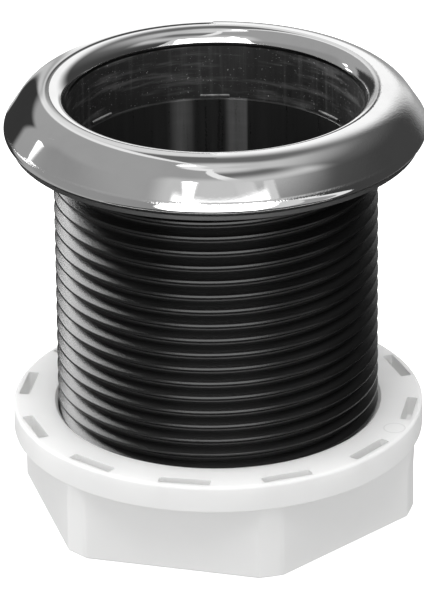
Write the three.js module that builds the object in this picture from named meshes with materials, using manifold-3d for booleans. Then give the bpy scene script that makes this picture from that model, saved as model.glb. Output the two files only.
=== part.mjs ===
// Straight thru-hull fitting: a threaded nylon barrel with a flange, a pressed steel trim cap
// over the flange, a sealing ring under it and a lock nut on the thread.
// Millimetres, +Z up along the barrel. The origin is the centre of the face it stands on.

import * as THREE from 'three';
import { mergeVertices } from 'three/addons/utils/BufferGeometryUtils.js';
import Module from 'manifold-3d';

// ---- driving dimensions ----

const PITCH = 2.309;             // G 1 1/2 pipe thread, 11 threads to the inch
const CREST_RADIUS = 23.9;       // outside of the barrel's thread
const THREAD_DEPTH = 1.3;
const ROOT_RADIUS = CREST_RADIUS - THREAD_DEPTH;
const CREST_WIDTH = 0.32;
const FLANK_ANGLE = 27.5;        // degrees from a flat plane across the barrel
const CREST_HEIGHT_AT_FRONT = 1.55;  // lowest crest on the -Y side, above the base

const BARREL_TOP = 57.2;         // the thread ends here, under the flange
const NECK_RADIUS = 22.2;        // plain barrel between thread and flange
const BORE_RADIUS = 21.3;
const MOUTH_RADIUS = 21.8;       // wider top of the bore
const LEDGE_HEIGHT = 55;         // where the bore steps out to the mouth
const LEDGE_TAB_ANGLES = [38.6, 90, 141.4];
const LEDGE_TAB = { width: 4.4, depth: 0.42, height: 0.55, inWall: 0.4 };

const OVERALL_HEIGHT = 65.85;
const RIM_RADIUS = 31.05;        // widest ring of the trim cap
const RIM_CENTRE_HEIGHT = 60.05;
const RIM_ROUND = 1.2;
const HEM_INNER_RADIUS = 28.6;   // the hem grips under the flange as far in as this
const CROWN_RING_RADIUS = 24.38; // where the cap is highest
const CROWN_ROUND = 5.75;        // outside of the highest ring
const LIP_DROP = 1.9;            // from the highest ring down to the cap's cut edge
const SHEET = 0.6;               // thickness of the trim cap
const FIT_GAP = 0.3;             // between pieces that touch
const BODY_MOUTH_TOP = 63.3;     // the nylon ends here, under the cap's cut edge

const SEAL_TOP = 58.55;
const SEAL_THICKNESS = 0.7;
const SEAL_INNER_RADIUS = 24.3;
const SEAL_OUTER_RADIUS = 30;

const NUT_HEIGHT = 15.8;
const NUT_RING_RADIUS = 30.55;
const NUT_RING_HEIGHT = 4.2;
const NUT_RING_TOP_CHAMFER = 0.45;
const NUT_RING_LOWER_CHAMFER = 0.3;
const NUT_HALF_FLATS = 26.6;
const NUT_CORNER_ROUND = 4;
const NUT_CORNER_RADIUS = 29.65; // reach of the corners at the bottom
const NUT_FLARE = { from: 7.4, radius: 30.1 };  // the corners widen towards the ring
const NUT_FLAT_ANGLE = -105.2;   // direction one flat faces
const NUT_THREAD_CLEARANCE = 0.5;
const NUT_LEAD_IN = 1.1;
const POCKETS = { count: 12, angle: -10, inner: 28, outer: 29.6, width: 7.6, depth: 3 };

const ROUND_STEPS = 48;          // facets round every turned shape
const THREAD_STEPS = 24;         // facets in one turn of thread
const ARC_STEP = 20;             // degrees between points on a profile arc
const CUT_MARGIN = 1;            // how far a cutting shape runs past the face it cuts
const LEAD_IN_MARGIN = 0.1;      // how far the barrel's blank stands out past the crests

const CROWN_CENTRE_HEIGHT = OVERALL_HEIGHT - CROWN_ROUND;
const SLOPE_ANGLE = slopeAngle();
const LIP_ROUND = lipRound();
const LIP_CENTRE_HEIGHT = OVERALL_HEIGHT - LIP_ROUND;
const LIP_ANGLE = lipAngle();
const SEAT_HEIGHT = RIM_CENTRE_HEIGHT - RIM_ROUND;   // underside of flange and hem

const wasm = await Module();
wasm.setup();

// ---- the trim cap's outline, worked out from the driving dimensions ----

/** Radius of the lip that runs from the highest ring down to the bore's mouth. */
function lipRound() {
  const acrossToMouth = CROWN_RING_RADIUS - MOUTH_RADIUS;
  return (acrossToMouth ** 2 + LIP_DROP ** 2) / (2 * LIP_DROP);
}

/** Direction that the sloping face looks in, in degrees above level: it touches rim and crown. */
function slopeAngle() {
  const across = CROWN_RING_RADIUS - (RIM_RADIUS - RIM_ROUND);
  const up = CROWN_CENTRE_HEIGHT - RIM_CENTRE_HEIGHT;
  const between = Math.acos((RIM_ROUND - CROWN_ROUND) / Math.hypot(across, up));
  return THREE.MathUtils.radToDeg(Math.atan2(up, across) - between);
}

/** Direction from the lip's centre to the cap's cut edge in the mouth of the bore. */
function lipAngle() {
  const across = (CROWN_RING_RADIUS - MOUTH_RADIUS) / LIP_ROUND;
  return 180 - THREE.MathUtils.radToDeg(Math.acos(across));
}

/** Points on an arc in the (radius, height) plane, from one angle to another in degrees. */
function arc(centreRadius, centreHeight, radius, from, to) {
  const steps = Math.max(2, Math.ceil(Math.abs(to - from) / ARC_STEP));
  return Array.from({ length: steps + 1 }, (_, i) => {
    const angle = THREE.MathUtils.degToRad(from + ((to - from) * i) / steps);
    return [centreRadius + radius * Math.cos(angle), centreHeight + radius * Math.sin(angle)];
  });
}

/** Hem, rim, slope, crown and lip at some depth under the cap's outer face, from the hem up. */
function domeLine(depth) {
  const crown = [CROWN_RING_RADIUS, CROWN_CENTRE_HEIGHT, CROWN_ROUND - depth];
  const lip = [CROWN_RING_RADIUS, LIP_CENTRE_HEIGHT, LIP_ROUND - depth];
  return [
    ...arc(RIM_RADIUS - RIM_ROUND, RIM_CENTRE_HEIGHT, RIM_ROUND - depth, -90, SLOPE_ANGLE),
    ...arc(...crown, SLOPE_ANGLE, 90),
    ...arc(...lip, 90, LIP_ANGLE).slice(1),
  ];
}

// ---- solids ----

/** A manifold solid from a closed three.js geometry. */
function solid(geometry) {
  const bare = geometry.clone();
  bare.deleteAttribute('normal');
  bare.deleteAttribute('uv');
  const merged = mergeVertices(bare, 1e-5);
  return new wasm.Manifold(new wasm.Mesh({
    numProp: 3,
    vertProperties: Float32Array.from(merged.attributes.position.array),
    triVerts: Uint32Array.from(merged.index.array),
  }));
}

/** A three.js geometry from a manifold solid. */
function geometryOf(manifold) {
  const { vertProperties, triVerts } = manifold.getMesh();
  const geometry = new THREE.BufferGeometry();
  geometry.setAttribute('position', new THREE.BufferAttribute(Float32Array.from(vertProperties), 3));
  geometry.setIndex(new THREE.BufferAttribute(Uint32Array.from(triVerts), 1));
  geometry.computeVertexNormals();
  return geometry;
}

/** A shape turned about Z from (radius, height) points that go anticlockwise. */
function turned(outline) {
  const points = outline.map(([radius, height]) => new THREE.Vector2(radius, height));
  const geometry = new THREE.LatheGeometry(points, ROUND_STEPS);
  geometry.rotateX(Math.PI / 2);
  return solid(geometry);
}

/** A turned shape whose outline closes on itself. */
function turnedRing(outline) {
  return turned([...outline, outline[0]]);
}

/** A plain turned disc, or a cone where its two radii differ. */
function disc(bottom, top, bottomRadius, topRadius = bottomRadius) {
  return turned([[0, bottom], [bottomRadius, bottom], [topRadius, top], [0, top]]);
}

/**
 * A right-handed screw: one helical ridge round a core. Each column of points stands at one angle
 * round the axis, and its rows climb by one pitch in a full turn, so that the last column meets
 * the first one a whole profile higher. Fans to the axis close both ends.
 */
function screw(crestRadius, rootRadius, bottom, top) {
  const flankRise = (CREST_RADIUS - ROOT_RADIUS) * Math.tan(THREE.MathUtils.degToRad(FLANK_ANGLE));
  const profile = [
    [rootRadius, -CREST_WIDTH / 2 - flankRise],
    [crestRadius, -CREST_WIDTH / 2],
    [crestRadius, CREST_WIDTH / 2],
    [rootRadius, CREST_WIDTH / 2 + flankRise],
  ];
  const rows = profile.length;
  const firstTurn = Math.floor((bottom - CREST_HEIGHT_AT_FRONT) / PITCH) - 2;
  const turns = Math.ceil((top - bottom) / PITCH) + 4;
  const lastRow = turns * rows;
  const positions = [];
  const columnStart = [];
  for (let column = 0; column < THREAD_STEPS; column += 1) {
    const share = column / THREAD_STEPS;
    const angle = 2 * Math.PI * share - Math.PI / 2;
    columnStart.push(positions.length / 3);
    const rowCount = column === 0 ? lastRow + rows : lastRow;
    for (let row = 0; row <= rowCount; row += 1) {
      const [radius, rise] = profile[row % rows];
      const turn = firstTurn + Math.floor(row / rows) + share;
      positions.push(
        radius * Math.cos(angle),
        radius * Math.sin(angle),
        CREST_HEIGHT_AT_FRONT + turn * PITCH + rise,
      );
    }
  }
  const at = (column, row) => (
    column < THREAD_STEPS ? columnStart[column] + row : columnStart[0] + row + rows
  );
  const triangles = [];
  for (let column = 0; column < THREAD_STEPS; column += 1) {
    for (let row = 0; row < lastRow; row += 1) {
      const [a, b] = [at(column, row), at(column + 1, row)];
      const [c, d] = [at(column + 1, row + 1), at(column, row + 1)];
      triangles.push(a, b, c, a, c, d);
    }
  }
  for (const [row, up] of [[0, false], [lastRow, true]]) {
    const loop = Array.from({ length: THREAD_STEPS }, (_, column) => at(column, row));
    for (let step = rows; step > 0; step -= 1) {
      loop.push(at(0, row + step));
    }
    const centre = positions.length / 3;
    const height = CREST_HEIGHT_AT_FRONT + (firstTurn + row / rows + 0.5) * PITCH;
    positions.push(0, 0, height);
    loop.forEach((point, i) => {
      const next = loop[(i + 1) % loop.length];
      triangles.push(...(up ? [point, next, centre] : [next, point, centre]));
    });
  }
  const rod = new wasm.Manifold(new wasm.Mesh({
    numProp: 3,
    vertProperties: Float32Array.from(positions),
    triVerts: Uint32Array.from(triangles),
  }));
  return rod.intersect(disc(bottom, top, crestRadius + CUT_MARGIN));
}

// ---- pieces ----

/** Nylon flange and barrel in one moulding, with the thread cut down to the root at both ends. */
function threadedBody() {
  const rebateRadius = HEM_INNER_RADIUS - FIT_GAP;
  const dome = domeLine(SHEET + FIT_GAP);
  const shoulderRadius = dome[dome.length - 1][0];
  const flange = turned([
    [0, LEDGE_HEIGHT - 2 * CUT_MARGIN],
    [NECK_RADIUS, LEDGE_HEIGHT - 2 * CUT_MARGIN],
    [NECK_RADIUS, SEAT_HEIGHT],
    [rebateRadius, SEAT_HEIGHT],
    [rebateRadius, SEAT_HEIGHT + SHEET + FIT_GAP],
    ...dome,
    [shoulderRadius, BODY_MOUTH_TOP],
    [0, BODY_MOUTH_TOP],
  ]);
  const envelope = turned([
    [0, 0],
    [ROOT_RADIUS, 0],
    [CREST_RADIUS + LEAD_IN_MARGIN, THREAD_DEPTH + LEAD_IN_MARGIN],
    [CREST_RADIUS + LEAD_IN_MARGIN, BARREL_TOP - THREAD_DEPTH - LEAD_IN_MARGIN],
    [ROOT_RADIUS, BARREL_TOP],
    [0, BARREL_TOP],
  ]);
  const thread = screw(CREST_RADIUS, ROOT_RADIUS, -CUT_MARGIN, BARREL_TOP + CUT_MARGIN);
  const bore = turned([
    [0, -CUT_MARGIN],
    [BORE_RADIUS, -CUT_MARGIN],
    [BORE_RADIUS, LEDGE_HEIGHT],
    [MOUTH_RADIUS, LEDGE_HEIGHT],
    [MOUTH_RADIUS, BODY_MOUTH_TOP + CUT_MARGIN],
    [0, BODY_MOUTH_TOP + CUT_MARGIN],
  ]);
  return LEDGE_TAB_ANGLES.reduce(
    (body, angle) => body.add(ledgeTab(angle)),
    thread.intersect(envelope).add(flange).subtract(bore),
  );
}

/** A small raised tab on the ledge inside the bore. */
function ledgeTab(angle) {
  const { width, depth, height, inWall } = LEDGE_TAB;
  const geometry = new THREE.BoxGeometry(depth + inWall, width, height + inWall);
  geometry.translate(
    BORE_RADIUS + (depth + inWall) / 2,
    0,
    LEDGE_HEIGHT + (height - inWall) / 2,
  );
  geometry.rotateZ(THREE.MathUtils.degToRad(angle));
  return solid(geometry);
}

/** Pressed steel shell over the flange, its hem folded in under the flange's edge. */
function trimCap() {
  return turnedRing([
    [HEM_INNER_RADIUS, SEAT_HEIGHT],
    ...domeLine(0),
    ...domeLine(SHEET).reverse(),
    [HEM_INNER_RADIUS, SEAT_HEIGHT + SHEET],
  ]);
}

/** Flat sealing ring under the flange. */
function flangeGasket() {
  return turnedRing([
    [SEAL_INNER_RADIUS, SEAL_TOP - SEAL_THICKNESS],
    [SEAL_OUTER_RADIUS, SEAL_TOP - SEAL_THICKNESS],
    [SEAL_OUTER_RADIUS, SEAL_TOP],
    [SEAL_INNER_RADIUS, SEAL_TOP],
  ]);
}

/** A hexagonal prism with rounded corners. */
function roundedHexagon(halfFlats, cornerRound, height) {
  const shape = new THREE.Shape();
  const cornerCentre = (halfFlats - cornerRound) / Math.cos(Math.PI / 6);
  for (let side = 0; side < 6; side += 1) {
    const flat = THREE.MathUtils.degToRad(NUT_FLAT_ANGLE + 60 * side);
    const corner = flat + Math.PI / 6;
    shape.absarc(
      cornerCentre * Math.cos(corner),
      cornerCentre * Math.sin(corner),
      cornerRound,
      flat,
      flat + Math.PI / 3,
      false,
    );
  }
  const settings = { depth: height, bevelEnabled: false, curveSegments: 5 };
  return solid(new THREE.ExtrudeGeometry(shape, settings));
}

/** White nylon nut: a round ring over a hexagon, with a row of moulded pockets in its top. */
function lockNut() {
  const ringBottom = NUT_HEIGHT - NUT_RING_HEIGHT;
  const ring = turned([
    [0, ringBottom],
    [NUT_RING_RADIUS - NUT_RING_LOWER_CHAMFER, ringBottom],
    [NUT_RING_RADIUS, ringBottom + NUT_RING_LOWER_CHAMFER],
    [NUT_RING_RADIUS, NUT_HEIGHT - NUT_RING_TOP_CHAMFER],
    [NUT_RING_RADIUS - NUT_RING_TOP_CHAMFER, NUT_HEIGHT],
    [0, NUT_HEIGHT],
  ]);
  const cornerBlank = turned([
    [0, 0],
    [NUT_CORNER_RADIUS, 0],
    [NUT_CORNER_RADIUS, NUT_FLARE.from],
    [NUT_FLARE.radius, ringBottom],
    [NUT_FLARE.radius, ringBottom + CUT_MARGIN],
    [0, ringBottom + CUT_MARGIN],
  ]);
  const hexagon = roundedHexagon(NUT_HALF_FLATS, NUT_CORNER_ROUND, ringBottom + CUT_MARGIN)
    .intersect(cornerBlank);
  const crest = CREST_RADIUS + NUT_THREAD_CLEARANCE;
  const root = ROOT_RADIUS + NUT_THREAD_CLEARANCE;
  const thread = screw(crest, root, -CUT_MARGIN, NUT_HEIGHT + CUT_MARGIN);
  const lowerLeadIn = disc(-CUT_MARGIN, NUT_LEAD_IN, crest + CUT_MARGIN, crest - NUT_LEAD_IN);
  const upperLeadIn = disc(
    NUT_HEIGHT - NUT_LEAD_IN, NUT_HEIGHT + CUT_MARGIN, crest - NUT_LEAD_IN, crest + CUT_MARGIN,
  );
  let nut = ring.add(hexagon).subtract(thread).subtract(lowerLeadIn).subtract(upperLeadIn);
  for (let i = 0; i < POCKETS.count; i += 1) {
    nut = nut.subtract(pocket(POCKETS.angle + (360 * i) / POCKETS.count));
  }
  return nut;
}

/** The space of one pocket in the nut's top face. */
function pocket(angle) {
  const geometry = new THREE.BoxGeometry(
    POCKETS.outer - POCKETS.inner, POCKETS.width, POCKETS.depth + CUT_MARGIN,
  );
  geometry.translate(
    (POCKETS.inner + POCKETS.outer) / 2,
    0,
    NUT_HEIGHT - (POCKETS.depth - CUT_MARGIN) / 2,
  );
  geometry.rotateZ(THREE.MathUtils.degToRad(angle));
  return solid(geometry);
}

// ---- the assembly ----

/** One named piece with its own material. */
function piece(name, manifold, color, metalness, roughness) {
  const material = new THREE.MeshStandardMaterial({ color, metalness, roughness });
  const mesh = new THREE.Mesh(geometryOf(manifold), material);
  mesh.name = name;
  return mesh;
}

const fitting = new THREE.Group();
fitting.add(
  piece('threaded_body', threadedBody(), 0x17181a, 0, 0.5),
  piece('trim_cap', trimCap(), 0xd9dadc, 1, 0.12),
  piece('flange_gasket', flangeGasket(), 0x101011, 0, 0.85),
  piece('lock_nut', lockNut(), 0xf1f1ee, 0, 0.4),
);

export default fitting;
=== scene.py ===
"""Looks of a straight thru-hull fitting: trim cap, threaded body, sealing ring and lock nut.

Every length is in metres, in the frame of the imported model: +Z up along the barrel, the origin in
the middle of the face that the fitting stands on.
"""

import logging
import math
from collections.abc import Callable, Mapping, Sequence
from dataclasses import dataclass, field
from enum import Enum
from typing import Any, Union

import bpy
from mathutils import Matrix, Vector


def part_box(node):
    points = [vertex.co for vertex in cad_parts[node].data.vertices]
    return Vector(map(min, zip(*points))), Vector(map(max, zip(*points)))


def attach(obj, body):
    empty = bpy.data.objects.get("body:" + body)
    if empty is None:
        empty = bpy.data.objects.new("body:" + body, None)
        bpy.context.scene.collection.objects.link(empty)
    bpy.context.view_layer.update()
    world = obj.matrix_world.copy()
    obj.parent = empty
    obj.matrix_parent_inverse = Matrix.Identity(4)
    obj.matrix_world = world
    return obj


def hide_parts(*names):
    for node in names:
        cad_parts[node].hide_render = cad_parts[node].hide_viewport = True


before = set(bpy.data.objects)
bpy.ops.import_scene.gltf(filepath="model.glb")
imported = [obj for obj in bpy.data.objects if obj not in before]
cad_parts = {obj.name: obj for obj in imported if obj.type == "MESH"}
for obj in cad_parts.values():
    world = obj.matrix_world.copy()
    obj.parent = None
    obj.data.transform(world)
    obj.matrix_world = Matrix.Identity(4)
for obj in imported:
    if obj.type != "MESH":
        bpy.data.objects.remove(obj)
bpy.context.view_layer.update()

log = logging.getLogger("thru_hull")

MM = 0.001
FULL_TURN = 2 * math.pi

Pair = tuple[float, float]
Outline = list[Pair]
Piece = bpy.types.Object
Value = Union["Signal", float, tuple]


# -------- shader building


@dataclass(frozen=True)
class Signal:
    """A shader socket that can stand in sums, so that masks read as plain arithmetic."""

    graph: "Graph"
    socket: bpy.types.NodeSocket

    def _math(self, operation: str, first: Value, second: Value) -> "Signal":
        """Adds one Math node and returns its result."""
        return self.graph.node("ShaderNodeMath", {"operation": operation}, {0: first, 1: second})

    def __add__(self, other: Value) -> "Signal":
        """self + other"""
        return self._math("ADD", self, other)

    def __radd__(self, other: Value) -> "Signal":
        """other + self"""
        return self._math("ADD", other, self)

    def __sub__(self, other: Value) -> "Signal":
        """self - other"""
        return self._math("SUBTRACT", self, other)

    def __rsub__(self, other: Value) -> "Signal":
        """other - self"""
        return self._math("SUBTRACT", other, self)

    def __mul__(self, other: Value) -> "Signal":
        """self * other"""
        return self._math("MULTIPLY", self, other)

    def __rmul__(self, other: Value) -> "Signal":
        """other * self"""
        return self._math("MULTIPLY", other, self)

    def __pow__(self, other: Value) -> "Signal":
        """self ** other"""
        return self._math("POWER", self, other)

    def angle_to(self, across: "Signal") -> "Signal":
        """The angle whose tangent is self over across."""
        return self._math("ARCTAN2", self, across)

    def between(self, low: float, high: float, start: float = 0.0, end: float = 1.0) -> "Signal":
        """Runs smoothly from start to end as self goes from low to high.

        Args:
            low: Value of self where the result is start.
            high: Value of self where the result is end.
            start: Result below low.
            end: Result above high.

        Returns:
            The remapped signal.
        """
        settings = {"interpolation_type": "SMOOTHSTEP", "clamp": True}
        inputs = {"Value": self, "From Min": low, "From Max": high, "To Min": start, "To Max": end}
        return self.graph.node("ShaderNodeMapRange", settings, inputs)


class Graph:
    """The node tree of one material or of the world."""

    def __init__(self, owner: bpy.types.Material | bpy.types.World) -> None:
        """Empties the owner's tree and keeps it.

        Args:
            owner: The material or world.
        """
        owner.use_nodes = True
        self.tree = owner.node_tree
        self.tree.nodes.clear()

    def node(
        self,
        kind: str,
        settings: Mapping[str, Any] | None = None,
        inputs: Mapping[Any, Value] | None = None,
        output: int | str = 0,
    ) -> Signal | None:
        """Adds one node.

        Args:
            kind: Blender's node type.
            settings: Node properties, set first.
            inputs: Values or signals, by the socket's name or number.
            output: Which output the result stands for.

        Returns:
            That output as a signal, or None from a node that has no outputs.
        """
        made = self.tree.nodes.new(kind)
        for name, value in (settings or {}).items():
            setattr(made, name, value)
        for name, value in (inputs or {}).items():
            if isinstance(value, Signal):
                self.tree.links.new(value.socket, made.inputs[name])
            else:
                made.inputs[name].default_value = value
        return Signal(self, made.outputs[output]) if len(made.outputs) else None

    def place(self) -> tuple[Signal, Signal, Signal, Signal]:
        """The point on the piece: as a vector, and as its x, y and z, in metres.

        Returns:
            The vector, x, y and z.
        """
        point = self.node("ShaderNodeTexCoord", output="Object")
        split = [
            self.node("ShaderNodeSeparateXYZ", inputs={"Vector": point}, output=axis)
            for axis in ("X", "Y", "Z")
        ]
        return point, *split

    def vector(self, x: Value, y: Value, z: Value) -> Signal:
        """A vector from three numbers or signals."""
        return self.node("ShaderNodeCombineXYZ", inputs={"X": x, "Y": y, "Z": z})

    def noise(self, where: Signal, size: float, detail: float = 3.0, rough: float = 0.55) -> Signal:
        """Smooth noise from 0 to 1.

        Args:
            where: Coordinates in metres.
            size: Width of its largest blobs, in metres.
            detail: How many finer layers it has.
            rough: How strong the finer layers are.

        Returns:
            The noise as a number.
        """
        inputs = {"Vector": where, "Scale": 1 / size, "Detail": detail, "Roughness": rough}
        return self.node("ShaderNodeTexNoise", {"noise_dimensions": "3D"}, inputs, "Fac")

    def bump(self, height: Signal, depth: float, strength: float = 1.0) -> Signal:
        """A normal bent by a height map.

        Args:
            height: Height from 0 to 1.
            depth: What a height of 1 is, in metres.
            strength: How much of it shows.

        Returns:
            The normal.
        """
        inputs = {"Height": height, "Distance": depth, "Strength": strength}
        return self.node("ShaderNodeBump", inputs=inputs)

    def mix(self, share: Value, first: tuple, second: tuple) -> Signal:
        """A colour between two greys or colours, by share."""
        settings = {"data_type": "RGBA"}
        return self.node("ShaderNodeMix", settings, {0: share, 6: first, 7: second}, 2)

    def glow(self, light: Value) -> None:
        """Ends a material with a plain white glow of this strength."""
        shader = self.node("ShaderNodeEmission", inputs={"Color": grey(1.0), "Strength": light})
        self.node("ShaderNodeOutputMaterial", inputs={"Surface": shader})

    def surface(self, inputs: Mapping[str, Value]) -> None:
        """Ends a material with a Principled shader that has these inputs."""
        shader = self.node("ShaderNodeBsdfPrincipled", inputs=inputs)
        self.node("ShaderNodeOutputMaterial", inputs={"Surface": shader})


def grey(level: float) -> tuple[float, float, float, float]:
    """A neutral colour."""
    return (level, level, level, 1.0)


# -------- finishes


@dataclass(frozen=True)
class PolishedSteel:
    """Pressed stainless sheet with a mirror polish, cut raw at its inner edge.

    The polish is worn along the upper arris, and more and more from worn_from to worn_to on the
    right.
    """

    cut_edge_height: float
    cut_edge_radius: float = 22.4 * MM
    arris_height: float = 60.65 * MM
    worn_from: float = 17 * MM
    worn_to: float = 29 * MM
    name: str = "polished_steel"
    level: float = 0.85
    roughness: float = 0.015

    def material(self) -> bpy.types.Material:
        """Builds the material.

        Returns:
            The finished material.
        """
        made = bpy.data.materials.new(self.name)
        graph = Graph(made)
        point, x, y, z = graph.place()
        smear = graph.noise(point, 9 * MM, 4)
        peel = graph.noise(point, 2.4 * MM, 2)
        grain = graph.noise(point, 0.3 * MM, 2)
        radius = (x * x + y * y) ** 0.5
        low = z.between(self.cut_edge_height + 0.05 * MM, self.cut_edge_height + 0.35 * MM, 1, 0)
        raw = low * radius.between(self.cut_edge_radius, self.cut_edge_radius + 0.5 * MM, 1, 0)
        right = x.between(self.worn_from, self.worn_to)
        over_arris = z - self.arris_height
        arris = over_arris.between(-0.25 * MM, -0.05 * MM) * over_arris.between(
            0.05 * MM, 0.35 * MM, 1, 0
        )
        worn = right + arris * (1 - right)
        rough = self.roughness + smear * 0.025 + worn * grain * 0.16 + raw * 0.3
        ripple = graph.bump(peel, 0.003 * MM, 0.5)
        normal = graph.node(
            "ShaderNodeBump",
            inputs={
                "Height": grain * (0.03 + worn * 0.97),
                "Distance": 0.05 * MM,
                "Strength": 0.6,
                "Normal": ripple,
            },
        )
        tint = graph.mix(smear.between(0.35, 0.75), grey(self.level), grey(self.level * 0.93))
        graph.surface({"Base Color": tint, "Metallic": 1.0, "Roughness": rough, "Normal": normal})
        return made


@dataclass(frozen=True)
class BlackNylon:
    """Glass-filled nylon: satin black outside, with a fine grain, smoother in the bore.

    Faces up to wall beyond the bore's radius count as the bore's. The two highlights are the
    limits, across the back of the bore, between which bright bands of painted reflection run up its
    face.
    """

    bore_radius: float
    ledge_height: float
    tab_height: float
    root_radius: float
    name: str = "black_nylon"
    wall: float = 0.65 * MM
    left_highlight: tuple[float, float, float] = (-7.5 * MM, -5 * MM, -2.6 * MM)
    right_highlight: tuple[float, float, float, float] = (1.2 * MM, 2.4 * MM, 4.6 * MM, 5.0 * MM)

    def material(self) -> bpy.types.Material:
        """Builds the material.

        Returns:
            The finished material.
        """
        made = bpy.data.materials.new(self.name)
        graph = Graph(made)
        point, x, y, z = graph.place()
        radius = (x * x + y * y) ** 0.5
        depth = radius - self.bore_radius
        over_ledge = z - self.ledge_height
        inside = depth.between(self.wall - 0.1 * MM, self.wall + 0.1 * MM, 1, 0)
        mouth = inside * over_ledge.between(-0.1 * MM, 0.1 * MM)
        grain = graph.noise(point, 0.22 * MM, 3, 0.7)
        cloud = graph.noise(point, 6 * MM, 3)
        streaks = graph.noise(graph.vector(x, y, z * 0.05), 0.9 * MM, 3)
        bands = graph.noise(graph.vector(x * 0.12, y * 0.12, z), 1.3 * MM, 3, 0.65)
        # Painted glints: bright specks of light in the mouth's grain; the same specks also bump it.
        glint_speck = graph.noise(point, 0.3 * MM, 2, 0.6).between(0.66, 0.78)
        behind = inside * y.between(6 * MM, 12 * MM)
        # Painted glint: the tops of the tabs at the back of the bore are lightened, broken up by
        # the streaks.
        over_tab = over_ledge - self.tab_height
        tab_top_glint = (
            over_tab.between(-0.15 * MM, -0.05 * MM)
            * over_tab.between(0.01 * MM, 0.05 * MM, 1, 0)
            * depth.between(0.4 * MM, 0.45 * MM, 1, 0)
        )
        # Across-limits of the two painted highlight bands at the back of the bore.
        start, middle, end = self.left_highlight
        left = x.between(start, middle) * x.between(middle, end, 1, 0)
        start, full, fade, end = self.right_highlight
        right = x.between(start, full) * x.between(fade, end, 1, 0)
        # Painted highlight: bright vertical bands of reflected light on the back of the bore's
        # wall.
        painted_highlight = behind * (1 - mouth) * (left + right)
        level = (
            0.0015
            + cloud * 0.003
            + grain * 0.003
            # Painted light: the bore's walls lifted above the outside's black, with vertical
            # streaks.
            + inside * (0.006 + streaks * 0.016)
            + painted_highlight * (0.03 + streaks * 0.09 + bands * 0.05)
            # Painted light: the mouth's band lifted, with painted glints in its grain.
            + mouth * (glint_speck * 0.4 + streaks.between(0.5, 0.8) * 0.03)
            + mouth * bands.between(0.5, 0.72) * 0.06
            + mouth * tab_top_glint * behind * streaks * 0.35
        )
        root = radius.between(self.root_radius, self.root_radius + 0.4 * MM, 1, 0) * (1 - inside)
        rough = 0.15 + grain * 0.12 + streaks * inside * 0.2 + mouth * 0.2 + root * 0.35
        relief = grain * (1 - inside * 0.8) + mouth * (bands * 0.8 + glint_speck * 0.6)
        graph.surface(
            {
                "Base Color": graph.vector(level, level, level),
                "Roughness": rough,
                "Specular IOR Level": 0.4,
                "Normal": graph.bump(relief, 0.05 * MM, 0.6),
            }
        )
        return made


@dataclass(frozen=True)
class WhiteNylon:
    """Natural nylon moulding: white, smooth and a little translucent."""

    name: str = "white_nylon"
    level: float = 0.87
    scatter: float = 2.5 * MM
    pin_mark: tuple[float, float, float] = (26.0 * MM, -11.6 * MM, 15.6 * MM)
    pin_radius: float = 1.6 * MM

    def material(self) -> bpy.types.Material:
        """Builds the material.

        Returns:
            The finished material.
        """
        made = bpy.data.materials.new(self.name)
        graph = Graph(made)
        point, x, y, z = graph.place()
        flow = graph.noise(point, 11 * MM, 3)
        aside, ahead = x - self.pin_mark[0], y - self.pin_mark[1]
        off_pin = (aside * aside + ahead * ahead) ** 0.5 - self.pin_radius
        ring = off_pin.between(-0.2 * MM, -0.05 * MM) * off_pin.between(0, 0.15 * MM, 1, 0)
        mark = ring * z.between(self.pin_mark[2], self.pin_mark[2] + 0.1 * MM)
        skin = graph.noise(point, 0.5 * MM, 3)
        level = self.level - 0.05 * flow - 0.12 * mark
        graph.surface(
            {
                "Base Color": graph.vector(level, level, level * 0.995),
                "Roughness": 0.32 + 0.12 * flow + 0.05 * skin,
                "Specular IOR Level": 0.15,
                "Subsurface Weight": 0.45,
                "Subsurface Radius": (1.0, 1.0, 1.0),
                "Subsurface Scale": self.scatter,
                "Normal": graph.bump(skin - mark * 0.8, 0.02 * MM, 0.3),
            }
        )
        return made


@dataclass(frozen=True)
class SealRubber:
    """Soft black sealing rubber with a dusty bloom."""

    name: str = "black_rubber"

    def material(self) -> bpy.types.Material:
        """Builds the material.

        Returns:
            The finished material.
        """
        made = bpy.data.materials.new(self.name)
        graph = Graph(made)
        point, *_ = graph.place()
        bloom = graph.noise(point, 4 * MM, 4)
        grain = graph.noise(point, 0.12 * MM, 2)
        level = 0.014 + 0.014 * bloom + 0.01 * grain
        graph.surface(
            {
                "Base Color": graph.vector(level, level, level),
                "Roughness": 0.5 + 0.2 * bloom,
                "Normal": graph.bump(grain, 0.02 * MM, 0.4),
            }
        )
        return made


# -------- mesh work


def arc(
    centre: Pair, radius: float, start: float, end: float, step: float = 5
) -> Outline:
    """Points on an arc in the (radius, height) plane.

    Args:
        centre: The arc's centre.
        radius: Its radius.
        start: First angle, in degrees from the outward direction.
        end: Last angle.
        step: Largest angle between two points.

    Returns:
        The points.
    """
    steps = max(3, math.ceil(abs(end - start) / step))
    angles = (math.radians(start + (end - start) * i / steps) for i in range(steps + 1))
    return [(centre[0] + radius * math.cos(a), centre[1] + radius * math.sin(a)) for a in angles]


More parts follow.
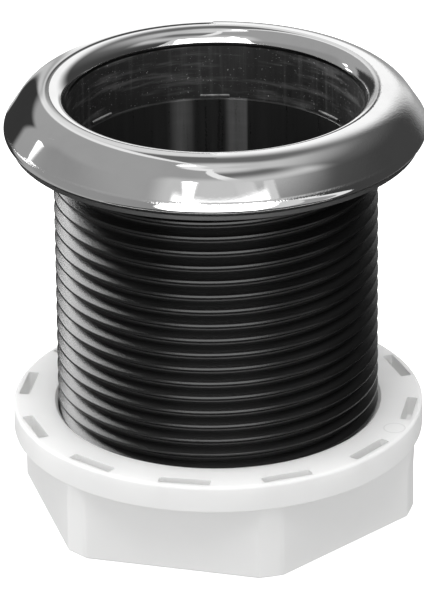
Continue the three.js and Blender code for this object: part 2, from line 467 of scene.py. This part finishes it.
def rounded(corners: Sequence[tuple[float, float, float]]) -> Outline:
    """A closed outline with rounded corners.

    Args:
        corners: Each corner's radius from the axis, its height and its rounding.

    Returns:
        The outline's points, in the order given.
    """
    points: Outline = []
    for i, (across, up, rounding) in enumerate(corners):
        here = Vector((across, up))
        if rounding <= 0:
            points.append((across, up))
            continue
        back = (Vector(corners[i - 1][:2]) - here).normalized()
        ahead = (Vector(corners[(i + 1) % len(corners)][:2]) - here).normalized()
        half = back.angle(ahead) / 2
        reach = rounding / math.tan(half)
        centre = here + (back + ahead).normalized() * (rounding / math.sin(half))
        first = here + back * reach - centre
        turn = first.angle_signed(here + ahead * reach - centre)
        steps = max(2, math.ceil(math.degrees(abs(turn)) / 15))
        for step in range(steps + 1):
            spoke = first.copy()
            spoke.rotate(Matrix.Rotation(-turn * step / steps, 2))
            points.append(tuple(centre + spoke))
    return points


class Join(Enum):
    """How one solid is combined with another."""

    ADD = "UNION"
    CUT = "DIFFERENCE"
    KEEP_COMMON = "INTERSECT"


class Bench:
    """Modelling steps on new meshes, each done with the operators of edit and object mode."""

    @staticmethod
    def clear() -> None:
        """Deselects everything."""
        if bpy.context.object and bpy.context.object.mode != "OBJECT":
            bpy.ops.object.mode_set(mode="OBJECT")
        bpy.ops.object.select_all(action="DESELECT")

    @classmethod
    def activate(cls, piece: Piece) -> None:
        """Makes one object the only selected one, and the active one.

        Args:
            piece: The object.
        """
        cls.clear()
        piece.select_set(True)
        bpy.context.view_layer.objects.active = piece

    @classmethod
    def line(cls, name: str, points: Outline, closed: bool) -> Piece:
        """A chain of edges in the XZ plane.

        Args:
            name: The new object's name.
            points: Its corners, as distance from the axis and height.
            closed: Whether the last point joins the first.

        Returns:
            The new object.
        """
        cls.clear()
        first_x, first_z = points[0]
        bpy.ops.mesh.primitive_plane_add(size=MM, location=(first_x, 0, first_z))
        piece = bpy.context.object
        piece.name = name
        bpy.ops.object.transform_apply(location=True, rotation=True, scale=True)
        bpy.ops.object.mode_set(mode="EDIT")
        bpy.ops.mesh.select_mode(type="VERT")
        bpy.ops.mesh.select_all(action="SELECT")
        bpy.ops.mesh.merge(type="CENTER")
        ends = [*points[1:], points[0]] if closed else points[1:]
        before = points[0]
        for after in ends:
            move = (after[0] - before[0], 0, after[1] - before[1])
            bpy.ops.mesh.extrude_region_move(TRANSFORM_OT_translate={"value": move})
            before = after
        bpy.ops.mesh.select_all(action="SELECT")
        bpy.ops.mesh.remove_doubles(threshold=0.0001 * MM)
        bpy.ops.object.mode_set(mode="OBJECT")
        return piece

    @classmethod
    def turned(cls, name: str, outline: Outline, steps: int) -> Piece:
        """A ring turned about the barrel's axis from a closed outline.

        Args:
            name: The new object's name.
            outline: Its section.
            steps: Facets in a full turn.

        Returns:
            The closed ring.
        """
        piece = cls.line(name, outline, closed=True)
        bpy.ops.object.mode_set(mode="EDIT")
        bpy.ops.mesh.select_all(action="SELECT")
        bpy.ops.mesh.spin(steps=steps, angle=FULL_TURN, center=(0, 0, 0), axis=(0, 0, 1))
        cls._close_up()
        bpy.ops.object.mode_set(mode="OBJECT")
        return piece

    @staticmethod
    def _close_up() -> None:
        """Merges doubles and turns every face outwards, in edit mode."""
        bpy.ops.mesh.select_all(action="SELECT")
        bpy.ops.mesh.remove_doubles(threshold=0.001 * MM)
        bpy.ops.mesh.normals_make_consistent(inside=False)

    @classmethod
    def screw(
        cls, name: str, form: "ThreadForm", allowance: float, bottom: float, top: float
    ) -> Piece:
        """A solid screw with a right-hand thread.

        Args:
            name: The new object's name.
            form: The thread's shape.
            allowance: How much larger than the barrel's own thread it is, in radius.
            bottom: Height of its lower end.
            top: Height of its upper end.

        Returns:
            The closed screw.
        """
        first = form.front_crest_below(bottom) - 2 * form.pitch
        section = [(across + allowance, first + up) for across, up in form.section()]
        piece = cls.line(name, section, closed=False)
        helix = piece.modifiers.new("helix", "SCREW")
        helix.axis = "Z"
        helix.angle = FULL_TURN
        helix.screw_offset = form.pitch
        helix.iterations = math.ceil((top - first) / form.pitch) + 3
        helix.steps = helix.render_steps = form.steps
        helix.use_merge_vertices = True
        helix.merge_threshold = 0.001 * MM
        cls.apply(piece, "helix")
        bpy.ops.object.mode_set(mode="EDIT")
        bpy.ops.mesh.select_all(action="SELECT")
        bpy.ops.transform.rotate(
            value=form.front_angle,
            orient_axis="Z",
            center_override=(0, 0, 0),
        )
        cls._close_up()
        for height, inner, outer in ((bottom, True, False), (top, False, True)):
            bpy.ops.mesh.select_all(action="SELECT")
            bpy.ops.mesh.bisect(
                plane_co=(0, 0, height),
                plane_no=(0, 0, 1),
                use_fill=True,
                clear_inner=inner,
                clear_outer=outer,
                threshold=0.0001 * MM,
            )
        cls._close_up()
        bpy.ops.object.mode_set(mode="OBJECT")
        return piece

    @classmethod
    def block(
        cls,
        angle: float,
        reach: Pair,
        heights: Pair,
        width: float,
        rounding: float,
        segments: int,
    ) -> Piece:
        """A box with rounded edges, square to a spoke from the barrel's axis.

        Args:
            angle: The spoke's direction, in radians.
            reach: The box's near and far distance along the spoke.
            heights: Its lower and upper height.
            width: Its size across the spoke.
            rounding: Its edges' rounding.
            segments: Facets in the rounding.

        Returns:
            The box.
        """
        cls.clear()
        across = sum(reach) / 2
        spot = (across * math.cos(angle), across * math.sin(angle), sum(heights) / 2)
        bpy.ops.mesh.primitive_cube_add(size=1, location=spot, rotation=(0, 0, angle))
        piece = bpy.context.object
        piece.scale = (reach[1] - reach[0], width, heights[1] - heights[0])
        bpy.ops.object.transform_apply(location=True, rotation=True, scale=True)
        bpy.ops.object.mode_set(mode="EDIT")
        bpy.ops.mesh.select_all(action="SELECT")
        bpy.ops.mesh.bevel(offset=rounding, segments=segments, affect="EDGES")
        bpy.ops.object.mode_set(mode="OBJECT")
        return piece

    @classmethod
    def apply(cls, piece: Piece, modifier: str) -> None:
        """Applies one modifier."""
        cls.activate(piece)
        bpy.ops.object.modifier_apply(modifier=modifier)

    @classmethod
    def combine(cls, piece: Piece, other: Piece, how: Join) -> None:
        """Joins or cuts piece with other, which is used up.

        Args:
            piece: The solid that is kept.
            other: The solid that is used up.
            how: What is done with it.
        """
        join = piece.modifiers.new("join", "BOOLEAN")
        join.operation = how.value
        join.solver = "MANIFOLD"
        join.object = other
        cls.apply(piece, "join")
        bpy.data.objects.remove(other)

    @classmethod
    def dress(cls, piece: Piece, sharp_from: float, material: bpy.types.Material) -> None:
        """Smooths the shading of a piece and gives the whole of it one material.

        Args:
            piece: The piece.
            sharp_from: Angle in degrees above which an edge stays sharp.
            material: The material.
        """
        cls.activate(piece)
        bpy.ops.object.shade_smooth_by_angle(angle=math.radians(sharp_from))
        piece.data.materials.clear()
        piece.data.materials.append(material)


# -------- pieces


@dataclass(frozen=True)
class ThreadForm:
    """A pipe thread with a narrow, rounded crest and a narrow root."""

    crest_radius: float = 23.9 * MM
    depth: float = 1.3 * MM
    pitch: float = 2.309 * MM
    crest_width: float = 0.32 * MM
    crest_rounding: float = 0.11 * MM
    root_width: float = 0.16 * MM
    front_crest: float = 1.55 * MM
    front_angle: float = math.radians(90)
    steps: int = 120

    @property
    def root_radius(self) -> float:
        """Radius at the bottom of the thread."""
        return self.crest_radius - self.depth

    def front_crest_below(self, height: float) -> float:
        """Height of the highest crest on the front that is under a height."""
        turns = math.floor((height - self.front_crest) / self.pitch)
        return self.front_crest + turns * self.pitch

    def section(self) -> Outline:
        """One pitch of the thread, from root to root, with the crest at height 0.

        Returns:
            The points, from the bottom up.
        """
        rise = (self.pitch - self.crest_width - self.root_width) / 2
        half = self.crest_width / 2
        lean = math.atan2(rise, self.depth)
        bend = self.crest_rounding * math.tan((math.pi / 2 - lean) / 2)
        centre = self.crest_radius - self.crest_rounding
        upper = arc((centre, half - bend), self.crest_rounding, 0, 90 - math.degrees(lean), 18)
        lower = [(across, -up) for across, up in reversed(upper)]
        start = (self.root_radius, -half - rise)
        landing = (self.root_radius, half + rise)
        return [start, *lower, *upper, landing, (self.root_radius, start[1] + self.pitch)]


@dataclass
class TrimCap:
    """Pressed steel shell over the flange."""

    finish: PolishedSteel
    node: str = "trim_cap"
    sheet: float = 0.6 * MM
    rim_rounding: float = 1.2 * MM
    hem_inner_radius: float = 28.6 * MM
    crown_ring_radius: float = 24.38 * MM
    crown_rounding: float = 5.75 * MM
    mouth_radius: float = 21.8 * MM
    lip_drop: float = 1.9 * MM
    steps: int = 256
    rim_radius: float = field(init=False)
    top: float = field(init=False)
    seat: float = field(init=False)

    def __post_init__(self) -> None:
        """Reads the overall sizes from the frame."""
        low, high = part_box(self.node)
        self.rim_radius = high.x
        self.top = high.z
        self.seat = low.z

    @property
    def lip_rounding(self) -> float:
        """Radius of the lip, from the highest ring down to the mouth of the bore."""
        across = self.crown_ring_radius - self.mouth_radius
        return (across**2 + self.lip_drop**2) / (2 * self.lip_drop)

    @property
    def slope(self) -> float:
        """Direction that the face between rim and crown looks in, in degrees above level.

        Returns:
            The angle, from the arcs that the face touches.
        """
        across = self.crown_ring_radius - (self.rim_radius - self.rim_rounding)
        up = self.top - self.crown_rounding - (self.seat + self.rim_rounding)
        between = math.acos((self.rim_rounding - self.crown_rounding) / math.hypot(across, up))
        return math.degrees(math.atan2(up, across) - between)

    def dome(self, depth: float) -> Outline:
        """The line from the hem up to the mouth, at some depth under the outer face.

        Args:
            depth: How far under the outer face it runs.

        Returns:
            The points, from the hem's side to the mouth.
        """
        rim = (self.rim_radius - self.rim_rounding, self.seat + self.rim_rounding)
        crown = (self.crown_ring_radius, self.top - self.crown_rounding)
        lip = (self.crown_ring_radius, self.top - self.lip_rounding)
        reach = (self.crown_ring_radius - self.mouth_radius) / self.lip_rounding
        end = 180 - math.degrees(math.acos(reach))
        return [
            *arc(rim, self.rim_rounding - depth, -90, self.slope),
            *arc(crown, self.crown_rounding - depth, self.slope, 90, 3),
            *arc(lip, self.lip_rounding - depth, 90, end)[1:],
        ]

    def section(self) -> Outline:
        """The whole shell, anticlockwise from the hem's inner edge.

        Returns:
            The closed outline.
        """
        return [
            (self.hem_inner_radius, self.seat),
            *self.dome(0),
            *reversed(self.dome(self.sheet)),
            (self.hem_inner_radius, self.seat + self.sheet),
        ]

    def build(self) -> Piece:
        """Makes and dresses the cap.

        Returns:
            The finished piece.
        """
        piece = Bench.turned("trim_cap_shell", self.section(), self.steps)
        Bench.dress(piece, 30, self.finish.material())
        return piece


@dataclass
class ThreadedBody:
    """Flange and threaded barrel in one moulding."""

    finish: BlackNylon
    cap: TrimCap
    form: ThreadForm
    node: str = "threaded_body"
    barrel_top: float = 57.2 * MM
    neck_radius: float = 22.2 * MM
    bore_radius: float = 21.3 * MM
    mouth_radius: float = 21.8 * MM
    ledge_height: float = 55.0 * MM
    mouth_top: float = 63.3 * MM
    fit_gap: float = 0.3 * MM
    steps: int = 192
    tab_angles: tuple[float, ...] = (38.6, 90.0, 141.4)
    tab_width: float = 4.4 * MM
    tab_height: float = 0.55 * MM
    tab_rounding: float = 0.08 * MM
    tab_in_wall: float = 0.35 * MM
    overlap: float = 0.5 * MM
    ledge_chamfer: float = 0.1 * MM
    foot_chamfer: float = 0.3 * MM

    def flange_section(self) -> Outline:
        """Section of the flange, from the neck up under the cap and back down the mouth.

        Returns:
            The closed outline.
        """
        cap = self.cap
        dome = cap.dome(cap.sheet + self.fit_gap)
        rebate = cap.hem_inner_radius - self.fit_gap
        return [
            (self.mouth_radius, self.barrel_top - self.overlap),
            (self.neck_radius, self.barrel_top - self.overlap),
            (self.neck_radius, cap.seat),
            (rebate, cap.seat),
            (rebate, cap.seat + cap.sheet + self.fit_gap),
            *dome,
            (dome[-1][0], self.mouth_top),
            (self.mouth_radius, self.mouth_top),
        ]

    def barrel_section(self) -> Outline:
        """Section of the barrel's blank, with its lead-in at both ends and the step in its bore.

        Returns:
            The closed outline.
        """
        form = self.form
        spare = 0.2 * MM
        outside = form.crest_radius + spare
        return [
            (self.bore_radius + self.foot_chamfer, 0.0),
            (form.root_radius, 0.0),
            (outside, form.depth + spare),
            (outside, self.barrel_top - form.depth),
            (form.root_radius, self.barrel_top),
            (self.mouth_radius, self.barrel_top),
            (self.mouth_radius, self.ledge_height),
            (self.bore_radius + self.ledge_chamfer, self.ledge_height),
            (self.bore_radius, self.ledge_height - self.ledge_chamfer),
            (self.bore_radius, self.foot_chamfer),
        ]

    def build(self) -> Piece:
        """Makes and dresses the moulding.

        Returns:
            The finished piece.
        """
        piece = Bench.screw("nylon_flange_and_barrel", self.form, 0.0, -MM, self.barrel_top + MM)
        blank = Bench.turned("barrel_blank", self.barrel_section(), self.steps)
        Bench.combine(piece, blank, Join.KEEP_COMMON)
        flange = Bench.turned("flange_blank", self.flange_section(), self.steps)
        Bench.combine(piece, flange, Join.ADD)
        for angle in self.tab_angles:
            Bench.combine(piece, self.tab(math.radians(angle)), Join.ADD)
        Bench.dress(piece, 25, self.finish.material())
        return piece

    def tab(self, angle: float) -> Piece:
        """One raised tab on the ledge in the bore, rounded at its corners.

        Args:
            angle: Where it stands round the bore, in radians.

        Returns:
            The tab's solid, which reaches a little into the wall.
        """
        reach = (self.bore_radius + self.tab_rounding, self.mouth_radius + self.tab_in_wall)
        heights = (self.ledge_height - self.tab_in_wall, self.ledge_height + self.tab_height)
        return Bench.block(angle, reach, heights, self.tab_width, self.tab_rounding, 2)


@dataclass
class SealingRing:
    """Flat rubber ring under the flange."""

    finish: SealRubber
    node: str = "flange_gasket"
    rounding: float = 0.12 * MM
    inner_radius: float = 24.3 * MM
    steps: int = 192

    def build(self) -> Piece:
        """Makes and dresses the ring.

        Returns:
            The finished piece.
        """
        low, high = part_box(self.node)
        section = rounded(
            [
                (self.inner_radius, low.z, self.rounding),
                (high.x, low.z, self.rounding),
                (high.x, high.z, self.rounding),
                (self.inner_radius, high.z, self.rounding),
            ]
        )
        piece = Bench.turned("flange_seal", section, self.steps)
        Bench.dress(piece, 40, self.finish.material())
        return piece


@dataclass
class LockNut:
    """White nylon nut: a round ring over a hexagon."""

    finish: WhiteNylon
    form: ThreadForm
    node: str = "lock_nut"
    ring_height: float = 4.2 * MM
    half_flats: float = 26.6 * MM
    corner_rounding: float = 4.0 * MM
    corner_radius: float = 29.65 * MM
    flare_from: float = 7.4 * MM
    flare_radius: float = 30.1 * MM
    flare_rounding: float = 8 * MM
    overlap: float = 0.9 * MM
    flat_angle: float = -105.2
    clearance: float = 0.5 * MM
    lead_in: float = 1.1 * MM
    ring_top_rounding: float = 0.5 * MM
    ring_low_rounding: float = 0.3 * MM
    foot_rounding: float = 0.4 * MM
    hole: float = 20.0 * MM
    pocket_count: int = 12
    pocket_angle: float = -10.0
    pocket_inner: float = 28.0 * MM
    pocket_outer: float = 29.6 * MM
    pocket_width: float = 7.6 * MM
    pocket_depth: float = 3.0 * MM
    pocket_rounding: float = 0.25 * MM
    steps: int = 192
    radius: float = field(init=False)
    height: float = field(init=False)

    def __post_init__(self) -> None:
        """Reads the overall sizes from the frame."""
        _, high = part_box(self.node)
        self.radius = high.x
        self.height = high.z

    def build(self) -> Piece:
        """Makes and dresses the nut.

        Returns:
            The finished piece.
        """
        piece = self.hexagon()
        Bench.combine(piece, self.ring(), Join.ADD)
        thread = Bench.screw("nut_thread", self.form, self.clearance, -MM, self.height + MM)
        Bench.combine(piece, thread, Join.CUT)
        for cone in self.lead_ins():
            Bench.combine(piece, cone, Join.CUT)
        for i in range(self.pocket_count):
            turn = math.radians(self.pocket_angle) + FULL_TURN * i / self.pocket_count
            Bench.combine(piece, self.pocket(turn), Join.CUT)
        Bench.dress(piece, 30, self.finish.material())
        return piece

    def hexagon(self) -> Piece:
        """The nut's body, with its six upright edges rounded.

        Returns:
            The solid.
        """
        Bench.clear()
        top = self.height - self.ring_height + MM
        bpy.ops.mesh.primitive_cylinder_add(
            vertices=6,
            radius=self.half_flats / math.cos(math.pi / 6),
            depth=top,
            location=(0, 0, top / 2),
            rotation=(0, 0, math.radians(self.flat_angle)),
        )
        piece = bpy.context.object
        piece.name = "nylon_lock_nut"
        bpy.ops.object.transform_apply(location=True, rotation=True, scale=True)
        self._select_edges(piece, lambda a, b: abs(a.z - b.z) > MM)
        offset = self.corner_rounding * math.tan(math.pi / 6)
        bpy.ops.mesh.bevel(offset=offset, offset_type="OFFSET", segments=12, affect="EDGES")
        bpy.ops.object.mode_set(mode="OBJECT")
        self._select_edges(piece, lambda a, b: a.z < 0.1 * MM and b.z < 0.1 * MM)
        bpy.ops.mesh.bevel(offset=self.foot_rounding, segments=3, affect="EDGES")
        bpy.ops.object.mode_set(mode="OBJECT")
        Bench.combine(piece, self.corner_blank(), Join.KEEP_COMMON)
        return piece

    def corner_blank(self) -> Piece:
        """The turned blank that trims the corners, and lets them widen towards the ring.

        Returns:
            The solid.
        """
        ledge = self.height - self.ring_height
        flare = [
            (self.corner_radius, 0, self.foot_rounding),
            (self.corner_radius, self.flare_from, self.flare_rounding),
            (self.flare_radius, ledge, 0),
            (self.flare_radius, ledge + self.overlap, 0),
            (self.hole, ledge + self.overlap, 0),
            (self.hole, 0, 0),
        ]
        return Bench.turned("corner_blank", rounded(flare), self.steps)

    @staticmethod
    def _select_edges(piece: Piece, wanted: Callable[[Vector, Vector], bool]) -> None:
        """Enters edit mode with the edges selected whose two ends are as wanted.

        Args:
            piece: The object.
            wanted: Says from its two ends whether an edge is selected.
        """
        Bench.activate(piece)
        bpy.ops.object.mode_set(mode="EDIT")
        bpy.ops.mesh.select_mode(type="EDGE")
        bpy.ops.mesh.select_all(action="DESELECT")
        bpy.ops.object.mode_set(mode="OBJECT")
        mesh = piece.data
        for edge in mesh.edges:
            first, second = (mesh.vertices[i].co for i in edge.vertices)
            edge.select = wanted(first, second)
        bpy.ops.object.mode_set(mode="EDIT")

    def ring(self) -> Piece:
        """The round ring at the top of the nut.

        Returns:
            The solid.
        """
        low = self.height - self.ring_height
        section = rounded(
            [
                (self.hole, low, 0),
                (self.radius, low, self.ring_low_rounding),
                (self.radius, self.height, self.ring_top_rounding),
                (self.hole, self.height, 0),
            ]
        )
        return Bench.turned("nut_ring", section, self.steps)

    def lead_ins(self) -> list[Piece]:
        """Cones that open the thread at both ends of the nut.

        Returns:
            The lower and the upper solid.
        """
        crest = self.form.crest_radius + self.clearance
        narrow = crest - self.lead_in
        wide = crest + MM
        inside = 10 * MM
        lower = [(inside, -MM), (wide, -MM), (narrow, self.lead_in), (inside, self.lead_in)]
        upper = [(across, self.height - up) for across, up in reversed(lower)]
        return [
            Bench.turned("lower_lead_in", lower, self.steps),
            Bench.turned("upper_lead_in", upper, self.steps),
        ]

    def pocket(self, angle: float) -> Piece:
        """The space of one pocket in the nut's top face.

        Args:
            angle: Where it lies round the nut, in radians.

        Returns:
            The solid that is cut out.
        """
        reach = (self.pocket_inner, self.pocket_outer)
        heights = (self.height - self.pocket_depth, self.height + MM)
        return Bench.block(angle, reach, heights, self.pocket_width, self.pocket_rounding, 3)


# -------- studio


class SeenBy(Enum):
    """Which rays a studio surface exists for."""

    CAMERA = "visible_camera"
    MIRRORS = "visible_glossy"


@dataclass(frozen=True)
class Patch:
    """A bright or dark area of the studio, as a mirror on the fitting sees it.

    Azimuth is in degrees from straight ahead, positive to the right, and elevation is in degrees
    above level. Soft is the width over which its edge fades. Lean is how many degrees its left and
    right edges move to the left for each degree of height.
    """

    azimuth: Pair
    elevation: Pair
    level: float
    soft: float = 6.0
    lean: Pair = (0.0, 0.0)

    def mask(self, azimuth: Signal, elevation: Signal) -> Signal:
        """How much of the patch is seen in a direction.

        Args:
            azimuth: The direction, in degrees to the right of straight ahead.
            elevation: The direction above level, in degrees.

        Returns:
            1 in the patch and 0 outside it.
        """
        half = self.soft / 2
        from_left = azimuth + self.lean[0] * elevation
        from_right = azimuth + self.lean[1] * elevation
        return (
            from_left.between(self.azimuth[0] - half, self.azimuth[0] + half)
            * from_right.between(self.azimuth[1] - half, self.azimuth[1] + half, 1, 0)
            * elevation.between(self.elevation[0] - half, self.elevation[0] + half)
            * elevation.between(self.elevation[1] - half, self.elevation[1] + half, 1, 0)
        )


def towards(azimuth: float, elevation: float) -> Vector:
    """The direction of a place in the studio, given in degrees as a Patch is.

    Args:
        azimuth: Degrees to the right of straight ahead.
        elevation: Degrees above level.

    Returns:
        The unit vector.
    """
    turn, rise = math.radians(azimuth), math.radians(elevation)
    return Vector(
        (math.sin(turn) * math.cos(rise), -math.cos(turn) * math.cos(rise), math.sin(rise))
    )


@dataclass(frozen=True)
class Lamp:
    """A small round light with a soft edge that only mirrors show, placed like a Patch."""

    azimuth: float
    elevation: float
    half_width: float
    level: float
    core: float = 0.35

    def light(self, sight: tuple[Signal, Signal, Signal], distance: float) -> Signal:
        """How much light the lamp gives at a place on the studio's wall.

        Args:
            sight: The place, as its x, y and z from the fitting.
            distance: How far away the wall is.

        Returns:
            The light.
        """
        x, y, z = (value / distance for value in towards(self.azimuth, self.elevation))
        along = sight[0] * x + sight[1] * y + sight[2] * z
        edge = math.cos(math.radians(self.half_width))
        core = math.cos(math.radians(self.half_width * self.core))
        return along.between(edge, core, 0, self.level)


@dataclass(frozen=True)
class Panel:
    """A soft light that faces the fitting from one metre away, placed like a Patch."""

    name: str
    azimuth: float
    elevation: float
    size: Pair
    power: float
    in_mirrors: bool = False


@dataclass
class Studio:
    """Camera, floor, soft light, and the panels and gaps that polished steel mirrors."""

    camera_elevation: float = 24.9
    distance: float = 0.861
    lens: float = 348.0
    roll: float = math.radians(-0.6)
    aim: tuple[float, float, float] = (-0.76 * MM, 0.0, 31.57 * MM)
    centre: tuple[float, float, float] = (0.0, 0.0, 62 * MM)
    floor_side: float = 2.4
    floor_gap: float = 0.02 * MM
    floor_glow: float = 0.75
    sky_level: float = 0.73
    backdrop_radius: float = 2.6
    room_radius: float = 2.0
    room_level: float = 0.055
    patches: tuple[Patch, ...] = (
        Patch((-10, 200), (36, 95), 0.16, 40),
        Patch((-200, -150), (36, 95), 0.16, 40),
        Patch((-200, 200), (74, 95), 0.7, 14),
        Patch((70, 140), (58, 95), 0.6, 36),
        Patch((-179, 57), (-60, 86), 0.95, 3, (-0.25, 0.78)),
        Patch((-172, 45), (-60, 80), 0.38, 3, (-0.25, 0.78)),
        Patch((-112, -20), (-60, 30), 0.31, 14),
        Patch((-200, -168), (24, 46), 0.8, 8),
        Patch((-172, -134), (-30, 22), 0.04, 6),
        Patch((-200, -173), (-40, 8), 1.2, 6),
        Patch((-171, -166), (-20, 22), 0.6, 4),
        Patch((-36, 16), (30, 53), 0.62, 14),
        Patch((10, 74), (38, 56), 0.62, 18),
        Patch((152, 200), (-10, 44), 1.1, 26),
        Patch((160, 200), (-40, 6), 0.35, 8),
        Patch((30, 44), (-60, 42), 0.72, 2, (0.0, 0.18)),
        Patch((-30, 31), (-60, 39), 4.2, 4, (-0.1, 0.0)),
    )
    panels: tuple[Panel, ...] = (
        Panel("key", -136, 36, (0.75, 0.8), 15.0, in_mirrors=True),
        Panel("side", -95, 14, (0.5, 0.5), 2.4),
        Panel("top", -14, 78, (0.7, 0.7), 9.0),
    )
    lamps: tuple[Lamp, ...] = (
        Lamp(-120, 2, 7, 5.0),
        Lamp(-117, 15, 5, 5.0),
        Lamp(-17, 43, 5, 8.0),
        Lamp(-134, 80, 4, 6.0),
        Lamp(-124, 31, 3, 5.0),
    )

    def build(self) -> None:
        """Sets up everything that isn't part of the object."""
        scene = bpy.context.scene
        scene.view_settings.view_transform = "Standard"
        self.camera()
        self.floor()
        self.world()
        self.backdrop()
        self.room()
        for panel in self.panels:
            self.hang(panel)

    def camera(self) -> None:
        """A long lens, looking down a little at the fitting's front."""
        tilt = math.radians(self.camera_elevation)
        back = Vector((0, -math.cos(tilt), math.sin(tilt)))
        bpy.ops.object.camera_add(location=Vector(self.aim) + back * self.distance)
        camera = bpy.context.object
        square = (-back).to_track_quat("-Z", "Y").to_matrix()
        camera.rotation_euler = (square @ Matrix.Rotation(self.roll, 3, "Z")).to_euler()
        camera.data.lens = self.lens
        camera.data.clip_start = 0.01
        bpy.context.scene.camera = camera

    def floor(self) -> None:
        """A pale plain floor under the fitting."""
        Bench.clear()
        bpy.ops.mesh.primitive_plane_add(size=self.floor_side, location=(0, 0, -self.floor_gap))
        floor = bpy.context.object
        floor.name = "floor"
        made = bpy.data.materials.new("pale_floor")
        graph = Graph(made)
        glow = {"Emission Color": grey(1.0), "Emission Strength": self.floor_glow}
        graph.surface({"Base Color": grey(0.85), "Roughness": 0.9, **glow})
        floor.data.materials.append(made)
        floor.visible_diffuse = False
        floor.visible_glossy = False

    def world(self) -> None:
        """Soft light from all round."""
        world = bpy.data.worlds.new("studio")
        bpy.context.scene.world = world
        graph = Graph(world)
        sky = {"Color": grey(1.0), "Strength": self.sky_level}
        light = graph.node("ShaderNodeBackground", inputs=sky)
        graph.node("ShaderNodeOutputWorld", inputs={"Surface": light})

    def shell(self, name: str, radius: float, seen_by: SeenBy) -> tuple[Piece, Graph]:
        """A big sphere round the fitting that only one kind of ray meets.

        Args:
            name: Its name.
            radius: Its radius.
            seen_by: The rays that meet it.

        Returns:
            The sphere, and its empty material.
        """
        Bench.clear()
        bpy.ops.mesh.primitive_uv_sphere_add(
            segments=64, ring_count=32, radius=radius, location=self.centre
        )
        shell = bpy.context.object
        shell.name = name
        for rays in ("camera", "diffuse", "glossy", "transmission", "volume_scatter", "shadow"):
            setattr(shell, f"visible_{rays}", f"visible_{rays}" == seen_by.value)
        made = bpy.data.materials.new(name)
        shell.data.materials.append(made)
        return shell, Graph(made)

    def backdrop(self) -> None:
        """The white paper all round, which only the camera sees."""
        _, graph = self.shell("backdrop", self.backdrop_radius, SeenBy.CAMERA)
        graph.glow(1.0)

    def room(self) -> None:
        """The panels, gaps and lamps of the studio, which only mirrors see."""
        _, graph = self.shell("room", self.room_radius, SeenBy.MIRRORS)
        _, x, y, z = graph.place()
        level_out = (x * x + y * y) ** 0.5
        degree = 180 / math.pi
        azimuth = x.angle_to(0 - y) * degree
        elevation = z.angle_to(level_out) * degree
        light: Value = self.room_level
        for patch in self.patches:
            mask = patch.mask(azimuth, elevation)
            light = light + (patch.level - light) * mask
        for lamp in self.lamps:
            light = light + lamp.light((x, y, z), self.room_radius)
        graph.glow(light)

    def hang(self, panel: Panel) -> None:
        """Hangs one soft light, turned towards the fitting.

        Args:
            panel: Where it hangs, and its size and power.
        """
        Bench.clear()
        out = towards(panel.azimuth, panel.elevation)
        bpy.ops.object.light_add(type="AREA", location=Vector(self.aim) + out)
        light = bpy.context.object
        light.name = panel.name
        light.visible_glossy = panel.in_mirrors
        light.data.shape = "RECTANGLE"
        light.data.size, light.data.size_y = panel.size
        light.data.energy = panel.power
        light.rotation_euler = (-out).to_track_quat("-Z", "Y").to_euler()

    def reserve(self, piece: Piece) -> None:
        """Lets the lights that mirrors show shine on one piece only.

        Args:
            piece: The piece they shine on.
        """
        for panel in self.panels:
            if panel.in_mirrors:
                lit = bpy.data.collections.new(f"lit_by_{panel.name}")
                lit.objects.link(piece)
                bpy.data.objects[panel.name].light_linking.receiver_collection = lit


# -------- assembly


def settle(piece: Piece, body: str, node: str) -> None:
    """Ties a finished piece to the frame.

    Args:
        piece: The piece.
        body: The body that it moves with.
        node: The plain node that it stands for.
    """
    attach(piece, body)
    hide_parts(node)
    log.info("%s: %d faces, rides on %s", piece.name, len(piece.data.polygons), body)


def main() -> None:
    """Builds the studio and the four pieces."""
    logging.basicConfig(level=logging.INFO, format="%(message)s")
    studio = Studio()
    studio.build()
    form = ThreadForm()
    cap = TrimCap(PolishedSteel(cut_edge_height=63.78 * MM))
    nylon = BlackNylon(
        bore_radius=ThreadedBody.bore_radius,
        ledge_height=ThreadedBody.ledge_height,
        tab_height=ThreadedBody.tab_height,
        root_radius=form.root_radius,
    )
    body = ThreadedBody(nylon, cap, form)
    settle(cap.build(), "fitting", cap.node)
    barrel = body.build()
    studio.reserve(barrel)
    settle(barrel, "fitting", body.node)
    seal = SealingRing(SealRubber())
    settle(seal.build(), "seal", seal.node)
    nut = LockNut(WhiteNylon(), form)
    settle(nut.build(), "nut", nut.node)


if __name__ == "__main__":
    main()
